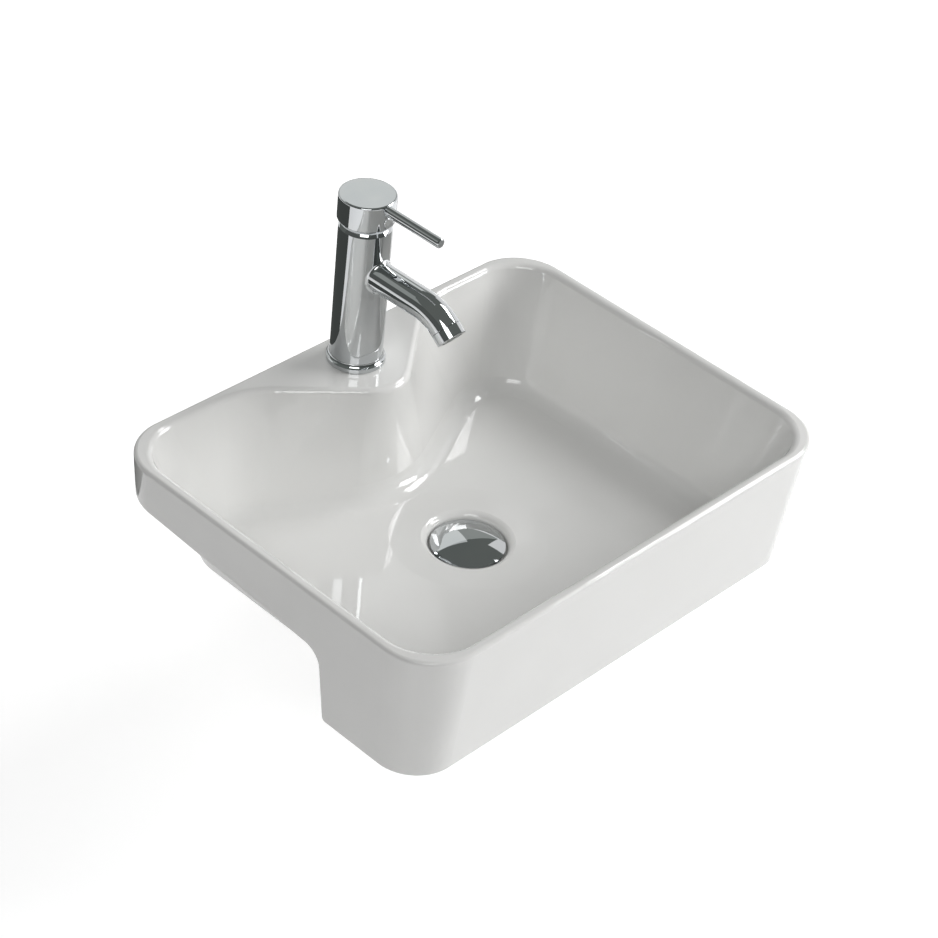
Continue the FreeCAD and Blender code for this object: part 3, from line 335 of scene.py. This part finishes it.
@dataclass
class CadDressing:
    """Gives each CAD piece its finish.

    Attributes:
        made: The materials, by use.
    """

    made: dict[Use, bpy.types.Material] = field(default_factory=dict)

    def material(self, use: Use) -> bpy.types.Material:
        """The material of a use, made once.

        Args:
            use: What the piece is made of.

        Returns:
            The material.
        """
        if use not in self.made:
            self.made[use] = use.value.build()
        return self.made[use]

    def dress(self) -> None:
        """Put the finishes on the CAD pieces."""
        for use, names in DRESS.items():
            for name in names:
                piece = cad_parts[name]
                piece.data.materials.clear()
                piece.data.materials.append(self.material(use))
                LOG.info("dressed %s in %s", name, use.value.name)


# ---------------------------------------------------------------------------
# Studio
# ---------------------------------------------------------------------------

@dataclass(frozen=True)
class Softbox:
    """A rectangular lamp that looks at the basin.

    Attributes:
        name: The lamp's name.
        bearing_deg: Where it hangs, from -Y towards +X.
        rise_deg: Its height above the horizon.
        side_m: Width and height.
        watts: Its power.
        reach_m: Its distance.
        aim_m: The point that it looks at.
    """

    name: str
    bearing_deg: float
    rise_deg: float
    side_m: tuple[float, float]
    watts: float
    reach_m: float = 4.0
    aim_m: tuple[float, float, float] = (0.0, -0.178, 0.0)

    def hang(self) -> None:
        """Add the lamp to the scene."""
        out = heading(self.bearing_deg, self.rise_deg)
        lamp = bpy.data.lights.new(self.name, "AREA")
        lamp.shape = "RECTANGLE"
        lamp.size, lamp.size_y = self.side_m
        lamp.energy = self.watts
        holder = bpy.data.objects.new(self.name, lamp)
        bpy.context.scene.collection.objects.link(holder)
        holder.location = Vector(self.aim_m) + out * self.reach_m
        holder.rotation_mode = "QUATERNION"
        holder.rotation_quaternion = out.to_track_quat("Z", "Y")


@dataclass(frozen=True)
class Card:
    """A sheet that shows only in what is polished, as a photographer's flag does.

    Attributes:
        name: The card's name.
        centre_m: Its middle.
        facing: The way it faces.
        side_m: Width and height.
        colour: Its sRGB colour.
    """

    name: str
    centre_m: tuple[float, float, float]
    facing: tuple[float, float, float]
    side_m: tuple[float, float]
    colour: str

    def hang(self) -> None:
        """Add the card to the scene."""
        sheet = flat_sheet(self.name, self.side_m)
        turn = Vector(self.facing).to_track_quat("Z", "Y").to_matrix().to_4x4()
        sheet.matrix_world = Matrix.Translation(self.centre_m) @ turn
        sheet.visible_camera = False
        sheet.visible_diffuse = False
        sheet.visible_shadow = False
        paint, _ = new_paint(self.name, {
            "Base Color": BLACK, "Specular IOR Level": 0.0,
            "Emission Color": linear(self.colour), "Emission Strength": 1.0})
        sheet.data.materials.append(paint)


# Key low in front and to the right, a high one at the side, and fills from left and behind.
LAMPS = (
    Softbox("key_softbox", 52.0, 22.0, side_m=(1.6, 1.6), watts=79.0),
    Softbox("side_softbox", 82.0, 45.0, side_m=(1.6, 1.2), watts=48.0),
    Softbox("fill_softbox", -50.0, 42.0, side_m=(2.2, 1.6), watts=44.0),
    Softbox("rear_softbox", 170.0, 30.0, side_m=(4.5, 3.0), watts=22.0),
)
# Grey cards that give the chrome its dark parts and edges, and a pale one for its gleam.
CARDS = (
    Card("ceiling_flag", (0.0, -1.2, 3.2), (0, 0, -1), (12.0, 7.2), "6C706D"),
    Card("rear_ceiling_flag", (0.0, 3.6, 3.2), (0, 0, -1), (12.0, 2.4), "A4A8A5"),
    Card("rear_flag", (0.0, 4.8, 1.4), (0, -1, 0), (12.0, 3.6), "6A6E6B"),
    Card("front_flag", (0.0, -4.8, 1.4), (0, 1, 0), (12.0, 3.6), "565957"),
    Card("left_flag", (-5.4, 0.0, 1.4), (1, 0, 0), (9.6, 3.6), "5E615F"),
    Card("low_flag", (-0.1, 0.56, FLOOR_LEVEL + 0.004), (0, 0, 1), (1.6, 0.62), "4C4F4D"),
    Card("gleam_card", (1.60, 0.22, 0.98), (-0.85, -0.2, -0.45), (0.6, 0.55), "F4F4F4"),
)


@dataclass
class Studio:
    """The photograph's viewpoint, a pale floor and plain soft light.

    Attributes:
        azimuth_deg: Camera's bearing; 0 looks along +Y.
        elevation_deg: Camera's height above the horizon.
        roll_deg: Tilt of the picture.
        distance_mm: Camera to target.
        target_mm: Point in the middle of the picture, on the rim's level.
        lens_mm: Focal length.
        sensor_mm: Width of the sensor.
        near_m: Nearest point that the camera sees.
        far_m: Farthest point that it sees.
        room_level: Strength of the room's even light on the object.
        paper: The floor's sRGB colour.
        paper_roughness: The floor's roughness.
        paper_glow: Glow that makes the lit floor white to the camera.
        floor_side_m: Length of the floor's sides.
    """

    azimuth_deg: float = -49.182
    elevation_deg: float = 37.529
    roll_deg: float = 6.389
    distance_mm: float = 2187.38
    target_mm: tuple[float, float] = (-34.81, -199.19)
    lens_mm: float = 103.56
    sensor_mm: float = 36.0
    near_m: float = 0.05
    far_m: float = 50.0
    room_level: float = 0.12
    paper: str = "E8E8E8"
    paper_roughness: float = 0.9
    paper_glow: float = 0.62
    floor_side_m: float = 12.0

    def camera(self) -> None:
        """Place the camera where the photograph was taken from."""
        roll = math.radians(self.roll_deg)
        back = heading(self.azimuth_deg, self.elevation_deg)
        level = (-back).cross(Vector((0, 0, 1))).normalized()
        upright = level.cross(-back)
        right = level * math.cos(roll) + upright * math.sin(roll)
        top = upright * math.cos(roll) - level * math.sin(roll)
        lens = bpy.data.cameras.new("photo_camera")
        lens.lens = self.lens_mm
        lens.sensor_width = self.sensor_mm
        lens.clip_start = self.near_m
        lens.clip_end = self.far_m
        holder = bpy.data.objects.new("photo_camera", lens)
        bpy.context.scene.collection.objects.link(holder)
        turn = Matrix((right, top, back)).transposed()
        aim = Vector((*self.target_mm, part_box("basin")[1][2] / MM))
        place = (aim + back * self.distance_mm) * MM
        holder.matrix_world = Matrix.Translation(place) @ turn.to_4x4()
        bpy.context.scene.camera = holder

    def shown(self, tree: bpy.types.NodeTree) -> bpy.types.NodeSocket:
        """Whether a ray is one of the camera's, straight, mirrored or through glass.

        Args:
            tree: The node tree.

        Returns:
            1 for such a ray, else 0.
        """
        path = add_node(tree, "ShaderNodeLightPath")
        first = add_node(tree, "ShaderNodeMath", {"operation": "MAXIMUM"}, {
            0: path.outputs["Is Camera Ray"], 1: path.outputs["Is Glossy Ray"]})
        both = add_node(tree, "ShaderNodeMath", {"operation": "MAXIMUM"}, {
            0: first.outputs[0], 1: path.outputs["Is Transmission Ray"]})
        return both.outputs[0]

    def world(self) -> None:
        """Plain grey room that the camera sees as white."""
        room = bpy.data.worlds.new("studio_room")
        bpy.context.scene.world = room
        room.use_nodes = True
        tree = room.node_tree
        tree.nodes.clear()
        white, grey = (add_node(tree, "ShaderNodeBackground", inputs={"Color": WHITE, "Strength": level})
                       for level in (1.0, self.room_level))
        pick = add_node(tree, "ShaderNodeMixShader", inputs={
            "Fac": self.shown(tree), 1: grey.outputs[0], 2: white.outputs[0]})
        add_node(tree, "ShaderNodeOutputWorld", inputs={"Surface": pick.outputs[0]})

    def floor(self) -> None:
        """A pale floor under the lowest piece, white to the camera, that keeps the shadow."""
        slab = flat_sheet("studio_floor", (self.floor_side_m, self.floor_side_m), FLOOR_LEVEL)
        paint, shader = new_paint("white_paper", {
            "Base Color": linear(self.paper), "Roughness": self.paper_roughness,
            "Emission Color": WHITE})
        tree = paint.node_tree
        glow = add_node(tree, "ShaderNodeMath", {"operation": "MULTIPLY"}, {
            0: self.shown(tree), 1: self.paper_glow})
        tree.links.new(glow.outputs[0], shader.inputs["Emission Strength"])
        slab.data.materials.append(paint)

    def build(self) -> None:
        """Set the whole studio up."""
        bpy.context.scene.view_settings.view_transform = "Standard"
        self.camera()
        for hung in (*LAMPS, *CARDS):
            hung.hang()
        self.world()
        self.floor()
        LOG.info("studio set up")


def main() -> None:
    """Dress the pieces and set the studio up."""
    logging.basicConfig(level=logging.INFO, format="%(message)s")
    CadDressing().dress()
    Studio().build()


if __name__ == "__main__":
    main()
